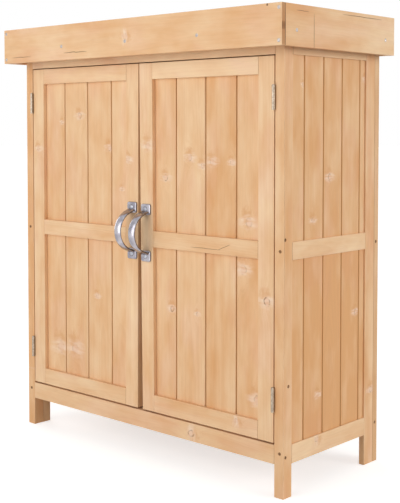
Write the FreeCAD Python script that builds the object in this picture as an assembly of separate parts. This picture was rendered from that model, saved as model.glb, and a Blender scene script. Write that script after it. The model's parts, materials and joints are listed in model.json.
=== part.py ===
import FreeCAD, Part
import math
import os

# Garden storage cabinet of planed fir: a battened carcass on four legs, two panelled doors on butt
# hinges, one shelf, and a shallow roof hidden behind a deep board edge.
# X runs to the right, Y to the rear and Z up. The origin is on the ground, at the middle of the
# whole cabinet's footprint. All lengths are in millimetres.

Vector = FreeCAD.Vector

# Overall sizes
body_width = 725.0
body_depth = 304.0
total_height = 880.0

# Roof edge boards
roof_side_overhang = 25.5
roof_front_overhang = 41.3
roof_rear_overhang = 12.9
fascia_height = 73.4
fascia_thickness = 10.0
roof_lip = 8.0
roof_fall = 12.0

# Roof structure
carcass_top_below_roof = 54.0
cross_batten_height = 16.0
cross_batten_depth = 24.0
front_batten_setback = 2.0
rear_batten_inset = 18.0
rafter_width = 20.0
rafter_spacing = 192.0
rafter_offset = -2.0
rafter_rise = 2.0
side_cleat_width = 12.0
deck_thickness = 10.0
deck_board_count = 5
deck_gap = 0.6
felt_thickness = 2.0
felt_drip = 26.0

# Carcass frame
post_width = 21.0
post_depth = 24.5
stop_depth = 19.5
top_stop_lap = 8.3
leg_height = 60.0
bottom_rail_height = 35.0
middle_rail_bottom = 428.3
middle_rail_height = 32.6
top_rail_height = 30.7
rear_stile_width = 30.0
back_stile_width = 28.0

# Framed panels: frame thickness, how deep the boards lie, board thickness and lap in the rebate
side_thickness = 12.0
side_recess = 3.5
side_board_play = 0.5
back_thickness = 15.5
back_recess = 5.0
back_board_thickness = 8.0
panel_lap = 8.0
side_board_pitch = 59.4
side_first_seam = 63.2
back_board_pitch = 74.0

# Tongue-and-groove joint between boards
seam_gap = 2.0
seam_chamfer = 1.2
tongue_length = 3.0
tongue_thickness = 2.6
tongue_clearance = 0.3
board_end_gap = 0.5

# Doors
door_thickness = 22.0
door_recess = 9.0
door_board_thickness = 10.0
door_lap = 10.0
door_bottom_gap = 3.4
door_top_gap = 2.0
door_top_rail_height = 32.2
door_bottom_rail_height = 33.6
door_middle_rail_height = 32.2
left_middle_rail_rise = 3.1
right_middle_rail_rise = 0.0
left_hinge_stile_width = 35.2
left_meeting_stile_width = 35.1
right_meeting_stile_width = 36.1
right_hinge_stile_width = 36.2
left_board_pitch = 73.9
left_board_shift = 3.4
right_board_pitch = 77.1
right_board_shift = -0.7
meeting_centre = -4.8
meeting_gap_top = 2.2
left_meeting_edge_lean = 4.1
left_panel_edge_lean = 4.1
right_meeting_edge_lean = 8.1
right_panel_edge_lean = 4.2

# Butt hinges
hinge_length = 44.0
upper_hinge_inset = 74.3
lower_hinge_inset = 79.0
hinge_leaf_thickness = 1.0
hinge_leaf_gap = 0.3
hinge_leaf_width = 18.0
barrel_radius = 3.1
barrel_stand_off = 0.3
hinge_pin_radius = 1.4
hinge_pin_clearance = 0.05
knuckle_count = 5
knuckle_gap = 0.3
pin_head_height = 1.2
hinge_screw_spread = 26.0
hinge_screw_setback = 11.0

# Bow handles
handle_hole_spacing = 93.5
handle_projection = 45.0
bow_width = 18.0
bow_thickness = 6.0
bow_edge_thickness = 2.2
pad_width = 26.0
pad_height = 22.0
pad_thickness = 3.6
pad_corner_radius = 4.0
left_handle_height = 458.6
right_handle_height = 456.2
left_handle_inset = 20.1
right_handle_inset = 17.9

# Magnetic catch
catch_width = 46.0
catch_height = 12.0
catch_depth = 13.0
strike_width = 16.0
strike_thickness = 1.5
strike_inset = 4.0
magnet_gap = 0.3

# Floor and shelf
bearer_size = 20.0
plank_thickness = 10.0
plank_count = 4
plank_gap = 3.0
shelf_setback = 44.0

# Screws
screw_clearance = 0.05
screw_head_radius = 4.0
screw_head_height = 2.2
screw_shank_radius = 1.9
screw_length = 30.0
short_screw_length = 16.0
hinge_screw_head_radius = 2.2
hinge_screw_head_height = 1.0
hinge_screw_shank_radius = 1.2
hinge_screw_length = 12.0
handle_screw_head_radius = 4.2
handle_screw_head_height = 1.4
handle_screw_shank_radius = 1.9
handle_screw_length = 17.0
handle_screw_access = 12.0
post_screw_inset = 9.5
post_screw_low_rise = 21.0
post_screw_middle_rise = 16.7
side_screw_low = (7.2, 14.6)
side_screw_middle = (15.0, 142.0)
side_screw_high = (4.6, 406.0)
back_strip_screw_rises = (18.0, 380.0)
back_strip_screw_setback = 7.0
back_screw_end_inset = 48.0
fascia_screw_rise = 9.0
fascia_corner_screw_inset = 8.5
fascia_corner_screw_setback = 7.0

# Worked out from the sizes above
half_width = body_width / 2
half_roof = half_width + roof_side_overhang
half_opening = half_width - post_width
inner_half_width = half_width - side_thickness
front_reach = max(roof_front_overhang, handle_projection)
overall_depth = front_reach + body_depth + roof_rear_overhang
front_y = -overall_depth / 2 + front_reach
back_y = front_y + body_depth
side_length = body_depth - back_thickness
inner_back_y = back_y - back_thickness
behind_post_y = front_y + post_depth
behind_stop_y = behind_post_y + stop_depth

carcass_top = total_height - carcass_top_below_roof
fascia_bottom = total_height - fascia_height
fascia_screw_height = carcass_top + fascia_screw_rise
bottom_rail_top = leg_height + bottom_rail_height
middle_rail_top = middle_rail_bottom + middle_rail_height
top_rail_bottom = carcass_top - top_rail_height
rear_batten_setback = body_depth - rear_batten_inset
side_board_thickness = side_thickness - side_recess - side_board_play

door_bottom = bottom_rail_top + door_bottom_gap
door_top = top_rail_bottom - door_top_gap
hinge_centres = (door_bottom + lower_hinge_inset, door_top - upper_hinge_inset)
hinge_side_gap = 2 * hinge_leaf_thickness + hinge_leaf_gap
hinge_axis_x = half_opening - hinge_side_gap / 2
hinge_axis_y = front_y - barrel_radius - barrel_stand_off
door_edge_x = half_opening - hinge_side_gap

fascia_back_y = front_y - roof_front_overhang + fascia_thickness
roof_rear_y = back_y + roof_rear_overhang
deck_front_z = total_height - roof_lip - felt_thickness - deck_thickness
inner_half_roof = half_roof - fascia_thickness


# Plain shapes
def box(x0, x1, y0, y1, z0, z1):
    return Part.makeBox(x1 - x0, y1 - y0, z1 - z0, Vector(x0, y0, z0))


def prism(points, height):
    """A prism from a closed outline of vectors, pushed along the vector height."""
    wire = Part.makePolygon(points + [points[0]])
    return Part.Face(wire).extrude(height)


def upright_prism(outline, z0, z1):
    return prism([Vector(x, y, z0) for x, y in outline], Vector(0, 0, z1 - z0))


def cross_prism(outline, x0, x1):
    return prism([Vector(x0, y, z) for y, z in outline], Vector(x1 - x0, 0, 0))


def mirrored(shape):
    return shape.mirror(Vector(0, 0, 0), Vector(1, 0, 0))


# Where a framed panel stands. A panel is drawn lying against the plane Y = 0, its outer face to the
# front, and is then turned to its place.
def to_front(shape):
    moved = shape.copy()
    moved.translate(Vector(0, front_y, 0))
    return moved


def to_right_side(shape):
    moved = shape.copy()
    moved.rotate(Vector(0, 0, 0), Vector(0, 0, 1), 90)
    moved.translate(Vector(half_width, front_y, 0))
    return moved


def to_back(shape):
    moved = shape.copy()
    moved.rotate(Vector(0, 0, 0), Vector(0, 0, 1), 180)
    moved.translate(Vector(0, back_y, 0))
    return moved


# Members of a framed panel. The boards lie in a rebate that is open to the inside of the cabinet,
# and the back layer of each rail runs on into the rebate of the stiles.
def rail(u0, u1, z0, z1, thickness, recess, lap, board_below, board_above):
    front_layer = box(u0, u1, 0, recess, z0, z1)
    back_bottom = z0 + lap if board_below else z0
    back_top = z1 - lap if board_above else z1
    back_layer = box(u0 - lap, u1 + lap, recess, thickness, back_bottom, back_top)
    return front_layer.fuse(back_layer).removeSplitter()


def board(u0, u1, z0, z1, front, thickness, seam_left, seam_right):
    """One board. At a seam its face is chamfered, and it has a groove on the left, a tongue on the right."""
    back = front + thickness
    middle = front + thickness * 0.56
    half_tongue = tongue_thickness / 2
    half_groove = half_tongue + tongue_clearance / 2
    outline = []
    if seam_left:
        outline.append((u0, front + seam_chamfer))
        outline.append((u0 + seam_chamfer, front))
    else:
        outline.append((u0, front))
    if seam_right:
        tongue_end = u1 + seam_gap + tongue_length
        outline.append((u1 - seam_chamfer, front))
        outline.append((u1, front + seam_chamfer))
        outline.append((u1, middle - half_tongue))
        outline.append((tongue_end, middle - half_tongue))
        outline.append((tongue_end, middle + half_tongue))
        outline.append((u1, middle + half_tongue))
    else:
        outline.append((u1, front))
    outline.append((u1, back))
    outline.append((u0, back))
    if seam_left:
        groove_end = u0 + tongue_length + tongue_clearance
        outline.append((u0, middle + half_groove))
        outline.append((groove_end, middle + half_groove))
        outline.append((groove_end, middle - half_groove))
        outline.append((u0, middle - half_groove))
    return upright_prism(outline, z0, z1)


def boards(u0, u1, z0, z1, seams, recess, thickness, lap):
    """A row of boards behind the opening u0 to u1 and z0 to z1, parted at the seams inside it."""
    left_end = u0 - lap + board_end_gap
    right_end = u1 + lap - board_end_gap
    low = z0 - lap + board_end_gap
    high = z1 + lap - board_end_gap
    margin = 2 * tongue_length + seam_gap
    inner_seams = [s for s in seams if left_end + margin < s < right_end - margin]
    edges = [left_end] + inner_seams + [right_end]
    last = len(edges) - 2
    row = []
    for index in range(len(edges) - 1):
        left = edges[index] + (seam_gap / 2 if index > 0 else 0)
        right = edges[index + 1] - (seam_gap / 2 if index < last else 0)
        row.append(board(left, right, low, high, recess, thickness, index > 0, index < last))
    return row


def seams_about(centre, pitch, half_span):
    """Seam places spaced by pitch on both sides of centre, out to half_span from it."""
    count = int(half_span // pitch)
    return [centre + pitch * step for step in range(-count, count + 1)]


# Screws. Each is drawn with its head's top at the origin, pointing down, and is then turned.
def aimed(shape, point, direction):
    turn = FreeCAD.Rotation(Vector(0, 0, -1), direction)
    return shape.transformed(FreeCAD.Placement(point, turn).toMatrix(), copy=True)


def cross_recess(radius, depth):
    slot = radius * 0.22
    reach = radius * 0.62
    first = box(-reach, reach, -slot, slot, -depth, depth)
    second = box(-slot, slot, -reach, reach, -depth, depth)
    return first.fuse(second)


def flat_head_screw(head_radius, head_height, shank_radius, length):
    head = Part.makeCone(shank_radius, head_radius, head_height, Vector(0, 0, -head_height))
    shank = Part.makeCylinder(shank_radius, length, Vector(0, 0, -length))
    return head.fuse(shank).cut(cross_recess(head_radius, head_height * 0.6)).removeSplitter()


def flat_head_hole(head_radius, head_height, shank_radius, length):
    wide = head_radius + screw_clearance
    narrow = shank_radius + screw_clearance
    head = Part.makeCone(narrow, wide, head_height, Vector(0, 0, -head_height))
    shank = Part.makeCylinder(narrow, length + screw_clearance, Vector(0, 0, -length - screw_clearance))
    return head.fuse(shank).removeSplitter()


def pan_head_screw():
    crown = handle_screw_head_height / 2
    rim = Part.makeCylinder(handle_screw_head_radius, crown)
    top_radius = handle_screw_head_radius * 0.7
    dome = Part.makeCone(handle_screw_head_radius, top_radius, crown, Vector(0, 0, crown))
    tip = Vector(0, 0, -handle_screw_length)
    shank = Part.makeCylinder(handle_screw_shank_radius, handle_screw_length, tip)
    recess = cross_recess(handle_screw_head_radius, crown)
    recess.translate(Vector(0, 0, handle_screw_head_height))
    return rim.fuse([dome, shank]).cut(recess).removeSplitter()


def pan_head_hole():
    """The shank's hole, and the room over it for the head and for a screwdriver."""
    radius = handle_screw_shank_radius + screw_clearance
    length = handle_screw_length + screw_clearance
    shank = Part.makeCylinder(radius, length, Vector(0, 0, -length))
    access = Part.makeCylinder(handle_screw_head_radius + screw_clearance, handle_screw_access)
    return shank.fuse(access)


class Screws:
    """The screws of one group, and the holes that they need in what they pass through."""

    def __init__(self):
        self.solids = []
        self.holes = []

    def wood(self, point, direction, length=screw_length):
        sizes = (screw_head_radius, screw_head_height, screw_shank_radius, length)
        self.solids.append(aimed(flat_head_screw(*sizes), point, direction))
        self.holes.append(aimed(flat_head_hole(*sizes), point, direction))

    def hinge(self, point, direction):
        sizes = (hinge_screw_head_radius, hinge_screw_head_height, hinge_screw_shank_radius,
                 hinge_screw_length)
        self.solids.append(aimed(flat_head_screw(*sizes), point, direction))
        self.holes.append(aimed(flat_head_hole(*sizes), point, direction))

    def handle(self, point, direction):
        self.solids.append(aimed(pan_head_screw(), point, direction))
        self.holes.append(aimed(pan_head_hole(), point, direction))


into_front = Vector(0, 1, 0)
into_back = Vector(0, -1, 0)


# Carcass: posts, stops and front rails
def front_post():
    """Right front post, a leg as well, with a stopped groove for the side rails and boards."""
    post = box(0, post_depth, 0, post_width, 0, carcass_top)
    groove = box(post_depth - panel_lap, post_depth, side_recess, side_thickness, leg_height, carcass_top)
    return to_right_side(post.cut(groove))


def door_stops():
    """A cleat behind each post, flush with its inner face, and the doors' stop behind the top rail.
    The left cleat runs down to the ground, the right one ends level with the side's bottom rail."""
    left = box(half_opening, inner_half_width, behind_post_y, behind_stop_y, 0, carcass_top)
    right = box(half_opening, inner_half_width, behind_post_y, behind_stop_y, leg_height, carcass_top)
    bottom = door_top - top_stop_lap
    top = box(-half_opening, half_opening, behind_post_y, behind_stop_y, bottom, carcass_top)
    return [mirrored(left), right, top]


def front_rail(z0, z1):
    return box(-half_opening, half_opening, front_y, behind_post_y, z0, z1)


# Carcass: framed sides and back
def side_rear_stile():
    inner_edge = side_length - rear_stile_width
    stile = box(inner_edge, side_length, 0, side_thickness, 0, carcass_top)
    rebate = box(inner_edge, inner_edge + panel_lap, side_recess, side_thickness, leg_height, carcass_top)
    return to_right_side(stile.cut(rebate))


def side_rail(z0, z1, board_below, board_above):
    inner_edge = side_length - rear_stile_width
    flat = rail(post_depth, inner_edge, z0, z1, side_thickness, side_recess, panel_lap,
                board_below, board_above)
    return to_right_side(flat)


def side_boards():
    inner_edge = side_length - rear_stile_width
    seam_count = int(side_length // side_board_pitch)
    seams = [side_first_seam + side_board_pitch * step for step in range(seam_count)]
    rows = []
    for z0, z1 in ((bottom_rail_top, middle_rail_bottom), (middle_rail_top, top_rail_bottom)):
        rows += boards(post_depth, inner_edge, z0, z1, seams, side_recess, side_board_thickness, panel_lap)
    return [to_right_side(solid) for solid in rows]


def back_stile():
    """The back stile at the right of the cabinet, which the drawing has at its left."""
    stile = box(-half_width, -half_width + back_stile_width, 0, back_thickness, 0, carcass_top)
    inner_edge = -half_width + back_stile_width
    rebate = box(inner_edge - panel_lap, inner_edge, back_recess, back_thickness, leg_height, carcass_top)
    return to_back(stile.cut(rebate))


def back_rails():
    edge = half_width - back_stile_width
    spans = (
        (leg_height, bottom_rail_top, False, True),
        (middle_rail_bottom, middle_rail_top, True, True),
        (top_rail_bottom, carcass_top, True, False),
    )
    flat = [rail(-edge, edge, z0, z1, back_thickness, back_recess, panel_lap, below, above)
            for z0, z1, below, above in spans]
    return [to_back(solid) for solid in flat]


def back_boards():
    edge = half_width - back_stile_width
    seams = seams_about(0, back_board_pitch, edge)
    rows = []
    for z0, z1 in ((bottom_rail_top, middle_rail_bottom), (middle_rail_top, top_rail_bottom)):
        rows += boards(-edge, edge, z0, z1, seams, back_recess, back_board_thickness, panel_lap)
    return [to_back(solid) for solid in rows]


# Floor and shelf
def side_bearer(top):
    inner = inner_half_width - bearer_size
    return box(inner, inner_half_width, behind_stop_y, inner_back_y, top - bearer_size, top)


def planks(y0, y1, top):
    """Planks that run from side to side, with a slit between one and the next."""
    width = (y1 - y0 - plank_gap * (plank_count - 1)) / plank_count
    row = []
    for index in range(plank_count):
        start = y0 + index * (width + plank_gap)
        row.append(box(-inner_half_width, inner_half_width, start, start + width, top - plank_thickness, top))
    return row


def floor_bearers():
    top = bottom_rail_top - plank_thickness
    middle = box(-bearer_size / 2, bearer_size / 2, behind_post_y, inner_back_y, top - bearer_size, top)
    right = side_bearer(top)
    return [mirrored(right), middle, right]


def floor_boards(stops):
    row = planks(behind_post_y, inner_back_y, bottom_rail_top)
    return [row[0].cut(stops)] + row[1:]


def shelf_bearers():
    """Side bearers, and a front and a rear batten between them under the shelf's long edges."""
    top = middle_rail_top - plank_thickness
    right = side_bearer(top)
    inner = inner_half_width - bearer_size
    front_start = front_y + shelf_setback
    front = box(-inner, inner, front_start, front_start + bearer_size, top - bearer_size, top)
    rear = box(-inner, inner, inner_back_y - bearer_size, inner_back_y, top - bearer_size, top)
    return [mirrored(right), right, front, rear]


def shelf_boards():
    return planks(front_y + shelf_setback, inner_back_y, middle_rail_top)


# Roof
def deck_z(y):
    """Height of the underside of the roof deck, which falls to the rear."""
    return deck_front_z - roof_fall * (y - fascia_back_y) / (roof_rear_y - fascia_back_y)


def front_fascia():
    start = fascia_back_y - fascia_thickness
    return box(-half_roof, half_roof, start, fascia_back_y, fascia_bottom, total_height)


def side_fascia():
    return box(inner_half_roof, half_roof, fascia_back_y, roof_rear_y, fascia_bottom, total_height)


def rear_fascia():
    end = back_y + fascia_thickness
    outline = [(back_y, fascia_bottom), (end, fascia_bottom), (end, deck_z(end)), (back_y, deck_z(back_y))]
    return cross_prism(outline, -inner_half_roof, inner_half_roof)


def batten_span(setback):
    centre = front_y + setback
    return centre - cross_batten_depth / 2, centre + cross_batten_depth / 2


def cross_battens():
    pair = []
    for setback in (front_batten_setback, rear_batten_setback):
        y0, y1 = batten_span(setback)
        top = carcass_top + cross_batten_height
        pair.append(box(-inner_half_roof, inner_half_roof, y0, y1, carcass_top, top))
    return pair


def rafter_places():
    return [rafter_offset + rafter_spacing * step for step in (-1, 0, 1)]


def rafter(x):
    """A tapered rafter, notched over both cross battens."""
    low = carcass_top + rafter_rise
    seat = carcass_top + cross_batten_height
    front0, front1 = batten_span(front_batten_setback)
    rear0, rear1 = batten_span(rear_batten_setback)
    outline = [
        (fascia_back_y, low),
        (front0, low),
        (front0, seat),
        (front1, seat),
        (front1, low),
        (rear0, low),
        (rear0, seat),
        (rear1, seat),
        (back_y, seat),
        (back_y, deck_z(back_y)),
        (fascia_back_y, deck_z(fascia_back_y)),
    ]
    return cross_prism(outline, x - rafter_width / 2, x + rafter_width / 2)


def side_cleat():
    """A tapered strip along the side fascia, on the ends of the cross battens."""
    seat = carcass_top + cross_batten_height
    outline = [
        (fascia_back_y, seat),
        (back_y, seat),
        (back_y, deck_z(back_y)),
        (fascia_back_y, deck_z(fascia_back_y)),
    ]
    return cross_prism(outline, inner_half_roof - side_cleat_width, inner_half_roof)


def rafters():
    cleat = side_cleat()
    return [mirrored(cleat), cleat] + [rafter(x) for x in rafter_places()]


def deck_boards():
    end = back_y + fascia_thickness
    pitch = (end - fascia_back_y + deck_gap) / deck_board_count
    row = []
    for index in range(deck_board_count):
        y0 = fascia_back_y + index * pitch
        y1 = y0 + pitch - deck_gap
        outline = [(y0, deck_z(y0)), (y1, deck_z(y1)), (y1, deck_z(y1) + deck_thickness),
                   (y0, deck_z(y0) + deck_thickness)]
        row.append(cross_prism(outline, -inner_half_roof, inner_half_roof))
    return row


def roof_felt():
    """Mineral felt over the deck, turned down over the rear edge as a drip."""
    end = back_y + fascia_thickness
    outer = end + felt_thickness
    front_z = deck_z(fascia_back_y) + deck_thickness
    end_z = deck_z(end) + deck_thickness
    outline = [
        (fascia_back_y, front_z),
        (end, end_z),
        (end, end_z - felt_drip),
        (outer, end_z - felt_drip),
        (outer, end_z + felt_thickness),
        (fascia_back_y, front_z + felt_thickness),
    ]
    return cross_prism(outline, -inner_half_roof, inner_half_roof)


# Doors
class Door:
    """One door's own sizes. side is -1 for the left door and 1 for the right one.

    Both edges of the meeting stile lean a little towards the door's own hinges on the way down.
    """

    def __init__(self, side):
        self.side = side
        self.name = "left" if side < 0 else "right"
        self.outer_edge = side * door_edge_x
        self.meeting_top = meeting_centre + side * meeting_gap_top / 2
        if side < 0:
            meeting_lean = left_meeting_edge_lean
            panel_lean = left_panel_edge_lean
            hinge_stile_width = left_hinge_stile_width
            meeting_stile_width = left_meeting_stile_width
            handle_inset = left_handle_inset
            self.middle_rail_bottom = middle_rail_bottom + left_middle_rail_rise
            self.pitch = left_board_pitch
            self.board_shift = left_board_shift
            self.handle_height = left_handle_height
        else:
            meeting_lean = right_meeting_edge_lean
            panel_lean = right_panel_edge_lean
            hinge_stile_width = right_hinge_stile_width
            meeting_stile_width = right_meeting_stile_width
            handle_inset = right_handle_inset
            self.middle_rail_bottom = middle_rail_bottom + right_middle_rail_rise
            self.pitch = right_board_pitch
            self.board_shift = right_board_shift
            self.handle_height = right_handle_height
        self.meeting_bottom = self.meeting_top + side * meeting_lean
        self.panel_edge_top = self.meeting_top + side * meeting_stile_width
        self.panel_edge_bottom = self.panel_edge_top + side * panel_lean
        self.hinge_side_edge = self.outer_edge - side * hinge_stile_width
        self.handle_x = self.panel_edge(self.handle_height) - side * handle_inset
        self.upper_bottom = self.middle_rail_bottom + door_middle_rail_height
        self.low_opening = door_bottom + door_bottom_rail_height
        self.high_opening = door_top - door_top_rail_height

    def panel_edge(self, z):
        """Where the meeting stile ends and the panel begins, at a height."""
        share = (door_top - z) / (door_top - door_bottom)
        return self.panel_edge_top + (self.panel_edge_bottom - self.panel_edge_top) * share

    def layer(self, y0, y1, z0, z1, reach):
        """A flat piece between the two stiles, run on by reach into both of them."""
        hinge_end = self.hinge_side_edge + self.side * reach
        corners = [
            Vector(hinge_end, y0, z0),
            Vector(self.panel_edge(z0) - self.side * reach, y0, z0),
            Vector(self.panel_edge(z1) - self.side * reach, y0, z1),
            Vector(hinge_end, y0, z1),
        ]
        return prism(corners, Vector(0, y1 - y0, 0))


def door_hinge_stile(door):
    left = min(door.outer_edge, door.hinge_side_edge)
    right = max(door.outer_edge, door.hinge_side_edge)
    stile = box(left, right, 0, door_thickness, door_bottom, door_top)
    rebate = door.layer(door_recess, door_thickness, door_bottom, door_top, door_lap)
    return to_front(stile.cut(rebate))


def door_meeting_stile(door):
    corners = [
        Vector(door.panel_edge_bottom, 0, door_bottom),
        Vector(door.meeting_bottom, 0, door_bottom),
        Vector(door.meeting_top, 0, door_top),
        Vector(door.panel_edge_top, 0, door_top),
    ]
    stile = prism(corners, Vector(0, door_thickness, 0))
    rebate = door.layer(door_recess, door_thickness, door_bottom, door_top, door_lap)
    return to_front(stile.cut(rebate))


def door_rail(door, z0, z1, board_below, board_above):
    back_bottom = z0 + door_lap if board_below else z0
    back_top = z1 - door_lap if board_above else z1
    front_layer = door.layer(0, door_recess, z0, z1, 0)
    back_layer = door.layer(door_recess, door_thickness, back_bottom, back_top, door_lap)
    return to_front(front_layer.fuse(back_layer).removeSplitter())


def door_boards(door):
    """Boards cut square, so that they clear the end of the leaning rebate where it is nearest."""
    centre = (door.hinge_side_edge + door.panel_edge_top) / 2 + door.board_shift
    half_span = abs(door.hinge_side_edge - door.panel_edge_top) / 2
    seams = seams_about(centre, door.pitch, half_span)
    rows = []
    for z0, z1 in ((door.low_opening, door.middle_rail_bottom), (door.upper_bottom, door.high_opening)):
        nearest = door.panel_edge(z0 - door_lap)
        left = min(door.hinge_side_edge, nearest)
        right = max(door.hinge_side_edge, nearest)
        rows += boards(left, right, z0, z1, seams, door_recess, door_board_thickness, door_lap)
    return [to_front(solid) for solid in rows]


# Handles
def handle_pad(x, z):
    pad = box(x - pad_width / 2, x + pad_width / 2, front_y - pad_thickness, front_y,
              z - pad_height / 2, z + pad_height / 2)
    corners = [edge for edge in pad.Edges if abs(edge.tangentAt(edge.FirstParameter).y) > 0.99]
    return pad.makeFillet(pad_corner_radius, corners)


def handle_bow(x, z):
    """Half a ring with a crowned section, swung out from the door."""
    outer = handle_projection
    inner = outer - bow_thickness
    half = bow_width / 2
    low_left = Vector(x - half, front_y, z + inner)
    low_right = Vector(x + half, front_y, z + inner)
    high_left = Vector(x - half, front_y, z + inner + bow_edge_thickness)
    high_right = Vector(x + half, front_y, z + inner + bow_edge_thickness)
    crown = Part.Arc(high_right, Vector(x, front_y, z + outer), high_left).toShape()
    section = Part.Wire([
        Part.makeLine(low_left, low_right),
        Part.makeLine(low_right, high_right),
        crown,
        Part.makeLine(high_left, low_left),
    ])
    return Part.Face(section).revolve(Vector(x, front_y, z), Vector(1, 0, 0), 180)


def handle(door):
    x = door.handle_x
    z = door.handle_height
    spread = handle_hole_spacing / 2
    return handle_bow(x, z).fuse([handle_pad(x, z - spread), handle_pad(x, z + spread)]).removeSplitter()


def handle_screws(door, screws):
    for step in (-1, 1):
        z = door.handle_height + step * handle_hole_spacing / 2
        screws.handle(Vector(door.handle_x, front_y - pad_thickness, z), into_front)


# Hinges, drawn for the right door
def knuckle_spans(centre):
    length = (hinge_length - knuckle_gap * (knuckle_count - 1)) / knuckle_count
    low = centre - hinge_length / 2
    starts = [low + index * (length + knuckle_gap) for index in range(knuckle_count)]
    return [(start, start + length) for start in starts]


def hinge_leaf(centre, toward, first_knuckle):
    """A leaf with every other knuckle. toward is 1 for the leaf on the post and -1 for the door's."""
    near = hinge_axis_x + toward * hinge_leaf_gap / 2
    far = near + toward * hinge_leaf_thickness
    x0, x1 = min(near, far), max(near, far)
    low = centre - hinge_length / 2
    plate_start = front_y + barrel_stand_off
    leaf = box(x0, x1, plate_start, front_y + hinge_leaf_width, low, low + hinge_length)
    knuckles = []
    for z0, z1 in knuckle_spans(centre)[first_knuckle::2]:
        knuckles.append(Part.makeCylinder(barrel_radius, z1 - z0, Vector(hinge_axis_x, hinge_axis_y, z0)))
        knuckles.append(box(x0, x1, hinge_axis_y, plate_start, z0, z1))
    bore = Part.makeCylinder(hinge_pin_radius + hinge_pin_clearance, hinge_length,
                             Vector(hinge_axis_x, hinge_axis_y, low))
    return leaf.fuse(knuckles).cut(bore).removeSplitter()


def hinge_pin(centre):
    low = centre - hinge_length / 2
    base = Vector(hinge_axis_x, hinge_axis_y, low)
    shank = Part.makeCylinder(hinge_pin_radius, hinge_length, base)
    head_base = Vector(hinge_axis_x, hinge_axis_y, low + hinge_length)
    head = Part.makeCylinder(barrel_radius * 0.75, pin_head_height, head_base)
    return shank.fuse(head).removeSplitter()


def hinge_screws(screws, side, toward):
    for centre in hinge_centres:
        for step in (-1, 1):
            x = side * (hinge_axis_x + toward * hinge_leaf_gap / 2)
            z = centre + step * hinge_screw_spread / 2
            screws.hinge(Vector(x, front_y + hinge_screw_setback, z), Vector(side * toward, 0, 0))


# Catch at the top of the doors
def catch_z():
    top = door_top - top_stop_lap
    return top - catch_height, top


def magnetic_catch():
    z0, z1 = catch_z()
    start = front_y + door_thickness + strike_thickness + magnet_gap
    left = meeting_centre - catch_width / 2
    housing = box(left, left + catch_width, start, start + catch_depth, z0, z1)
    long_edges = [edge for edge in housing.Edges if abs(edge.tangentAt(edge.FirstParameter).y) > 0.99]
    return housing.makeChamfer(catch_height * 0.1, long_edges)


def strike_plate(door):
    z0, z1 = catch_z()
    start = door.side * strike_inset + meeting_centre
    end = start + door.side * strike_width
    back = front_y + door_thickness
    return box(min(start, end), max(start, end), back, back + strike_thickness, z0, z1)


# Screws of the carcass and of the roof
def carcass_screws():
    screws = Screws()
    post_heights = (leg_height + post_screw_low_rise, middle_rail_bottom + post_screw_middle_rise)
    back_heights = (leg_height + back_screw_end_inset, (middle_rail_bottom + middle_rail_top) / 2,
                    carcass_top - back_screw_end_inset)
    for side in (-1, 1):
        inward = Vector(-side, 0, 0)
        for z in post_heights:
            screws.wood(Vector(side * (half_width - post_screw_inset), front_y, z), into_front)
        setback, rise = side_screw_low
        screws.wood(Vector(side * half_width, front_y + setback, leg_height + rise), inward)
        for setback, rise in (side_screw_middle, side_screw_high):
            place = Vector(side * half_width, front_y + setback, leg_height + rise)
            screws.wood(place, inward, short_screw_length)
        for rise in back_strip_screw_rises:
            place = Vector(side * half_width, back_y - back_strip_screw_setback, leg_height + rise)
            screws.wood(place, inward)
        for z in back_heights:
            screws.wood(Vector(side * (half_width - side_thickness / 2), back_y, z), into_back)
        hinge_screws(screws, side, 1)
    return screws


def roof_screws():
    screws = Screws()
    face_y = fascia_back_y - fascia_thickness
    for x in rafter_places():
        screws.wood(Vector(x, face_y, fascia_screw_height), into_front)
    for side in (-1, 1):
        x = side * (half_roof - fascia_corner_screw_setback)
        for z in (fascia_bottom + fascia_corner_screw_inset, total_height - fascia_corner_screw_inset):
            screws.wood(Vector(x, face_y, z), into_front)
        for setback in (front_batten_setback, rear_batten_setback):
            screws.wood(Vector(side * half_roof, front_y + setback, fascia_screw_height), Vector(-side, 0, 0))
        low_z = (fascia_bottom + carcass_top) / 2
        rear_place = Vector(side * rafter_spacing, back_y + fascia_thickness, low_z)
        screws.wood(rear_place, into_back, short_screw_length)
    return screws


def door_screws(door):
    screws = Screws()
    handle_screws(door, screws)
    hinge_screws(screws, door.side, -1)
    return screws


def drilled(solids, holes):
    """The solids, with every hole taken out that reaches into them."""
    result = []
    for solid in solids:
        near = [hole for hole in holes if solid.BoundBox.intersect(hole.BoundBox)]
        result.append(solid.cut(near) if near else solid)
    return result


# The nodes
def carcass_nodes():
    stops = door_stops()
    post = front_post()
    rear_stile = side_rear_stile()
    right_boards = side_boards()
    right_back_stile = back_stile()
    nodes = {
        "front_post_left": [mirrored(post)],
        "front_post_right": [post],
        "door_stops": stops,
        "front_bottom_rail": [front_rail(leg_height, bottom_rail_top)],
        "front_top_rail": [front_rail(top_rail_bottom, carcass_top)],
        "left_side_rear_stile": [mirrored(rear_stile)],
        "right_side_rear_stile": [rear_stile],
        "left_side_boards": [mirrored(solid) for solid in right_boards],
        "right_side_boards": right_boards,
        "back_stile_left": [mirrored(right_back_stile)],
        "back_stile_right": [right_back_stile],
        "back_rails": back_rails(),
        "back_boards": back_boards(),
        "floor_bearers": floor_bearers(),
        "floor_boards": floor_boards(stops),
        "shelf_bearers": shelf_bearers(),
        "shelf_boards": shelf_boards(),
    }
    side_rails = (
        ("bottom", leg_height, bottom_rail_top, False, True),
        ("middle", middle_rail_bottom, middle_rail_top, True, True),
        ("top", top_rail_bottom, carcass_top, True, False),
    )
    for place, z0, z1, below, above in side_rails:
        solid = side_rail(z0, z1, below, above)
        nodes["right_side_" + place + "_rail"] = [solid]
        nodes["left_side_" + place + "_rail"] = [mirrored(solid)]
    return nodes


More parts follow.
